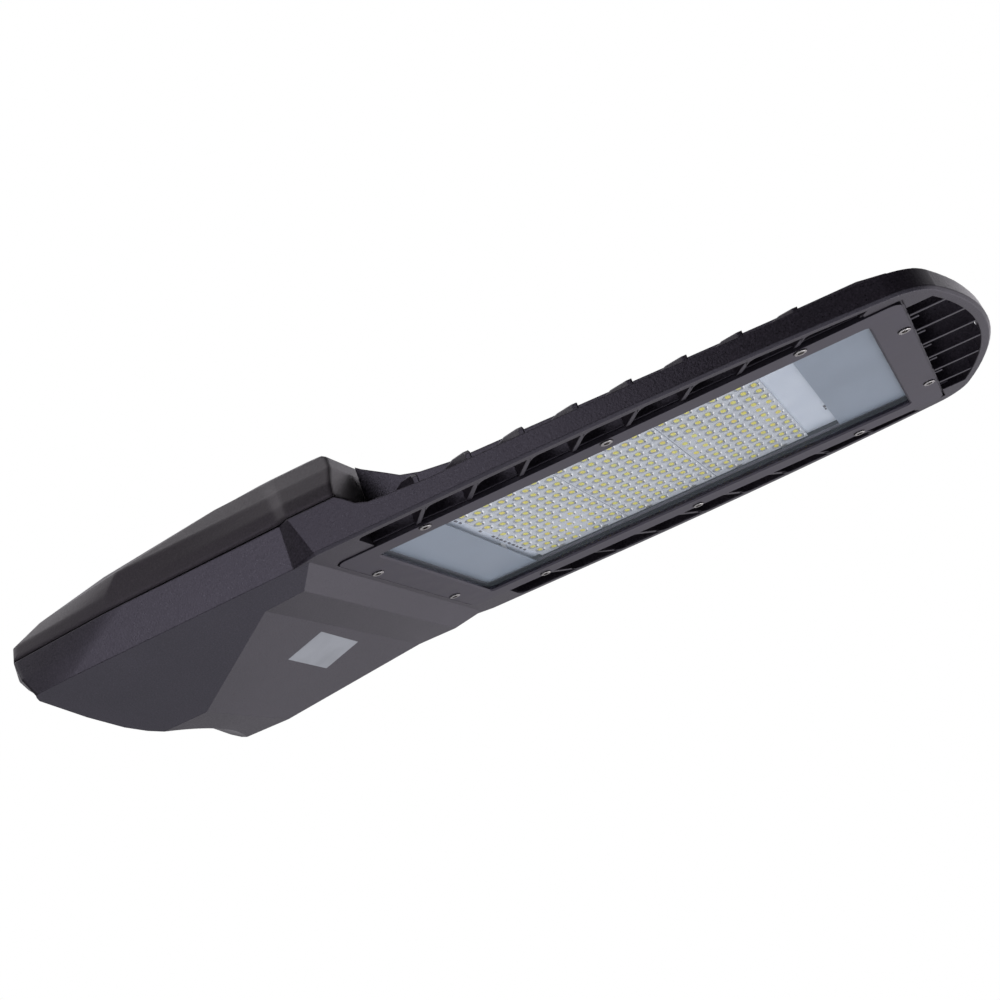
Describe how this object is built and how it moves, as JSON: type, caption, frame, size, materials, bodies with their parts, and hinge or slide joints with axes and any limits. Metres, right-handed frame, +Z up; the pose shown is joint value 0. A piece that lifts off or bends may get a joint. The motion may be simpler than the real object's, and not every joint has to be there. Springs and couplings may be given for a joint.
{
  "type": "led street light head",
  "caption": "Flat cast road lantern head with a glazed light engine, cooling fins, slotted rim and a domed gear compartment that clamps onto a pole spigot.",
  "frame": {"origin": "on the axis of the spigot socket, 3 mm behind the middle of the socket's hollowed lower lip", "axes": "+X along the spigot axis towards the nose, +Y across the head, +Z up; the light leaves towards -Z"},
  "size_m": [0.7298, 0.3226, 0.1183],
  "materials": {
    "casting": "fine textured powder coat",
    "cover_paint": "fine textured powder coat",
    "frame_paint": "smooth satin powder coat",
    "clear_glass": "toughened, clear",
    "seal_rubber": "matt silicone",
    "stainless": "stainless steel",
    "mask_grey": "printed grey",
    "solder_mask": "white solder resist",
    "phosphor": "phosphor under silicone",
    "lens_plastic": "clear moulded lens plate",
    "pad_grey": "heat conducting sheet",
    "white_plastic": "moulded",
    "wire_insulation": "silicone",
    "galvanised": "zinc coated sheet",
    "driver_case": "anodised",
    "black_plastic": "moulded"
  },
  "bodies": {
    "root": {"lower_housing": "casting", "top_cover": "cover_paint", "cover_gasket": "seal_rubber", "cover_screws": "stainless", "glass_frame": "frame_paint", "frame_screws": "stainless", "glass_pane": "clear_glass", "glass_gasket": "seal_rubber", "rear_mask_sheet": "mask_grey", "front_mask_sheet": "mask_grey", "led_board": "solder_mask", "led_chips": "phosphor", "lens_rear": "lens_plastic", "lens_middle": "lens_plastic", "lens_front": "lens_plastic", "lens_screws": "stainless", "thermal_pad": "pad_grey", "board_connector": "white_plastic", "led_leads": "wire_insulation", "lead_grommet": "seal_rubber", "gear_tray": "galvanised", "tray_screws": "stainless", "driver": "driver_case", "driver_screws": "stainless", "surge_protector": "black_plastic", "terminal_block": "white_plastic", "terminal_screws": "stainless", "supply_leads": "wire_insulation", "cord_clamp": "black_plastic", "cord_clamp_screws": "stainless", "earth_screw": "stainless", "clamp_bolts": "stainless", "clamp_nuts": "stainless"}
  },
  "joints": []
}
